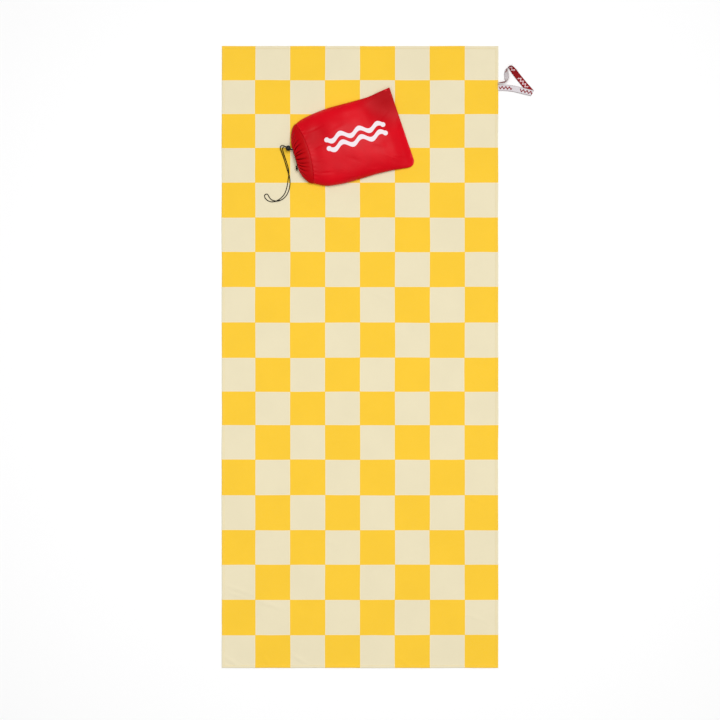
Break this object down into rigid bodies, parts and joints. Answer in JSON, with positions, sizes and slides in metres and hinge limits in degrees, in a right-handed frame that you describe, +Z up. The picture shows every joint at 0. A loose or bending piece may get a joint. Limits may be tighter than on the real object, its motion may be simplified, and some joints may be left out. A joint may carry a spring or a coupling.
{
  "type": "beach towel with drawstring pouch",
  "caption": "Checked rectangular beach towel laid flat, with a woven hanging loop at one edge and a drawstring pouch with a cord lock lying on it.",
  "frame": {"origin": "centre of the towel's underside", "axes": "+X across the towel towards its hanging loop, +Y along the towel towards the pouch's end, +Z up"},
  "size_m": [0.9041, 1.8, 0.047],
  "materials": {
    "towel_cloth": "matt microfibre, printed in yellow and cream checks",
    "hem_thread": "matt spun thread",
    "woven_tape": "woven, red on one face and white on the other",
    "pouch_fabric": "satin nylon",
    "casing_fabric": "satin nylon, gathered",
    "pouch_thread": "spun thread",
    "drawcord": "braided",
    "lock_plastic": "moulded",
    "button_plastic": "moulded",
    "spring_steel": "drawn wire"
  },
  "bodies": {
    "towel": {"towel_cloth": "towel_cloth", "hem_stitch_top": "hem_thread", "hem_stitch_bottom": "hem_thread", "hem_stitch_left": "hem_thread", "hem_stitch_right": "hem_thread", "loop_bartack": "hem_thread"},
    "hanging_loop": {"hanging_loop": "woven_tape"},
    "pouch": {"pouch_front_panel": "pouch_fabric", "pouch_back_panel": "pouch_fabric", "casing_front": "casing_fabric", "casing_back": "casing_fabric", "casing_stitch_front": "pouch_thread", "casing_stitch_back": "pouch_thread", "side_seam_upper": "pouch_fabric", "side_seam_lower": "pouch_fabric", "bottom_seam": "pouch_fabric", "buttonhole_lock_side": "pouch_thread", "buttonhole_knot_side": "pouch_thread", "drawcord_casing": "drawcord", "drawcord_loop": "drawcord", "drawcord_knot": "drawcord", "cord_lock_barrel": "lock_plastic", "cord_lock_spring": "spring_steel"},
    "lock_button": {"cord_lock_button": "button_plastic"}
  },
  "joints": [
    {"name": "loop_hinge", "type": "hinge", "parent": "towel", "child": "hanging_loop", "pos_m": [0.4, 0.784, 0.002], "axis": [0, -1, 0], "range_deg": [0, 90]},
    {"name": "pouch_lift", "type": "slide", "parent": "towel", "child": "pouch", "axis": [0, 0, 1], "range_m": [0, 0.2]},
    {"name": "button_press", "type": "slide", "parent": "pouch", "child": "lock_button", "axis": [0, 0, -1], "range_m": [0, 0.003], "stiffness_N_per_m": 300, "springref_m": -0.004, "deforming": ["cord_lock_spring"]}
  ]
}
